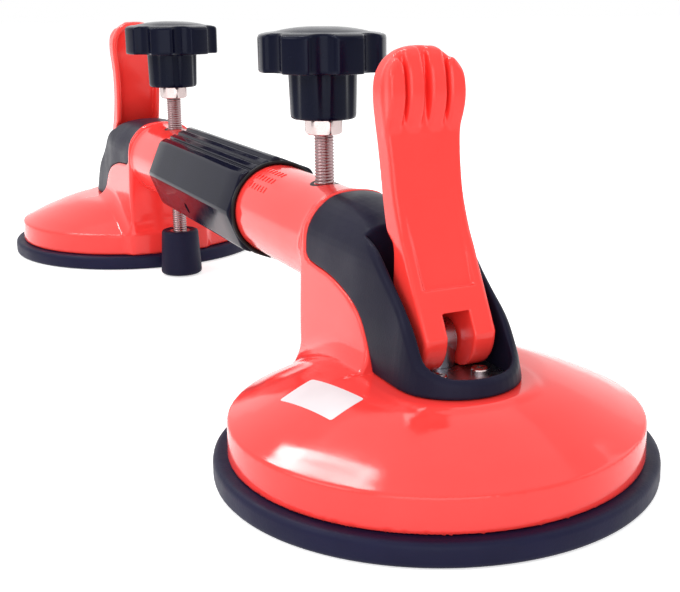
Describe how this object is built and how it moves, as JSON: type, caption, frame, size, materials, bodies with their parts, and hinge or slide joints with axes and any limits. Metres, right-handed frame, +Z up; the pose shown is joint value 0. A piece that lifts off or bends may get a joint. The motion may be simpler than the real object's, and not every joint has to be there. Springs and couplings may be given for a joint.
{
  "type": "floor tile suction lifter",
  "caption": "Twin suction-pad floor tile lifter with cam levers, a telescopic screw-adjusted spreader sleeve and star-knob levelling screws.",
  "frame": {"origin": "on the floor under the middle of the tool, midway between the two suction pads", "axes": "+X along the spreader tube towards the right head, which carries the drive screw; +Z up; the tool is symmetrical about the XZ plane"},
  "size_m": [0.54, 0.15, 0.1436],
  "materials": {
    "red_housing": "gloss",
    "red_lever": "gloss",
    "black_cover": "satin",
    "pad_rubber": "satin",
    "foot_rubber": "matte",
    "sleeve_black": "gloss",
    "knob_black": "satin",
    "rod_steel": "satin",
    "nut_steel": "satin",
    "zinc_steel": "satin",
    "spring_steel": "satin",
    "screw_steel": "satin",
    "brass": "satin",
    "nylon_white": "matte"
  },
  "bodies": {
    "left_head": {"left_housing": "red_housing", "left_shroud": "black_cover", "left_wear_plate": "zinc_steel", "left_shroud_screws": "zinc_steel", "left_suction_pad": "pad_rubber", "left_return_spring": "spring_steel", "left_threaded_bush": "brass", "retaining_ring": "spring_steel", "guide_bar": "screw_steel"},
    "right_head": {"right_housing": "red_housing", "right_shroud": "black_cover", "right_wear_plate": "zinc_steel", "right_shroud_screws": "zinc_steel", "right_suction_pad": "pad_rubber", "right_return_spring": "spring_steel", "right_threaded_bush": "brass", "drive_screw": "screw_steel"},
    "sleeve": {"grip_sleeve": "sleeve_black", "drive_nut": "nylon_white"},
    "left_stem": {"left_pull_stem": "zinc_steel", "left_stem_plate": "zinc_steel"},
    "left_lever": {"left_cam_lever": "red_lever", "left_lever_pin": "zinc_steel"},
    "left_foot": {"left_rubber_foot": "foot_rubber", "left_foot_bush": "zinc_steel"},
    "left_knob": {"left_star_knob": "knob_black", "left_knob_insert": "brass", "left_jam_nut": "nut_steel", "left_levelling_rod": "rod_steel"},
    "right_stem": {"right_pull_stem": "zinc_steel", "right_stem_plate": "zinc_steel"},
    "right_lever": {"right_cam_lever": "red_lever", "right_lever_pin": "zinc_steel"},
    "right_foot": {"right_rubber_foot": "foot_rubber", "right_foot_bush": "zinc_steel"},
    "right_knob": {"right_star_knob": "knob_black", "right_knob_insert": "brass", "right_jam_nut": "nut_steel", "right_levelling_rod": "rod_steel"}
  },
  "joints": [
    {"name": "sleeve_turn", "type": "hinge", "parent": "left_head", "child": "sleeve", "pos_m": [0, 0, 0.0632], "axis": [1, 0, 0], "range_deg": [-1261, 1081]},
    {"name": "right_head_slide", "type": "slide", "parent": "left_head", "child": "right_head", "axis": [1, 0, 0], "range_m": [-0.012, 0.014]},
    {"name": "left_stem_lift", "type": "slide", "parent": "left_head", "child": "left_stem", "axis": [0, 0, 1], "range_m": [0, 0.0082], "deforming": ["left_suction_pad", "left_return_spring"]},
    {"name": "left_lever_swing", "type": "hinge", "parent": "left_stem", "child": "left_lever", "pos_m": [-0.195, 0, 0.0437], "axis": [0, -1, 0], "range_deg": [0, 90]},
    {"name": "left_foot_travel", "type": "slide", "parent": "left_head", "child": "left_foot", "axis": [0, 0, 1], "range_m": [-0.0168, 0.0179]},
    {"name": "left_knob_turn", "type": "hinge", "parent": "left_foot", "child": "left_knob", "pos_m": [-0.1038, 0, 0.115], "axis": [0, 0, 1], "range_deg": [-4838, 5155]},
    {"name": "right_stem_lift", "type": "slide", "parent": "right_head", "child": "right_stem", "axis": [0, 0, 1], "range_m": [0, 0.0082], "deforming": ["right_suction_pad", "right_return_spring"]},
    {"name": "right_lever_swing", "type": "hinge", "parent": "right_stem", "child": "right_lever", "pos_m": [0.195, 0, 0.0437], "axis": [0, 1, 0], "range_deg": [0, 90]},
    {"name": "right_foot_travel", "type": "slide", "parent": "right_head", "child": "right_foot", "axis": [0, 0, 1], "range_m": [-0.0191, 0.0156]},
    {"name": "right_knob_turn", "type": "hinge", "parent": "right_foot", "child": "right_knob", "pos_m": [0.1038, 0, 0.115], "axis": [0, 0, 1], "range_deg": [-5500, 4492]}
  ],
  "couplings": [
    {"joint": "sleeve_turn", "follows": "right_head_slide", "rad_per_m": -1570.8},
    {"joint": "left_stem_lift", "follows": "left_lever_swing", "m_per_rad": 0.0052},
    {"joint": "left_foot_travel", "follows": "left_knob_turn", "m_per_rad": 0.00019894},
    {"joint": "right_stem_lift", "follows": "right_lever_swing", "m_per_rad": 0.0052},
    {"joint": "right_foot_travel", "follows": "right_knob_turn", "m_per_rad": 0.00019894}
  ]
}
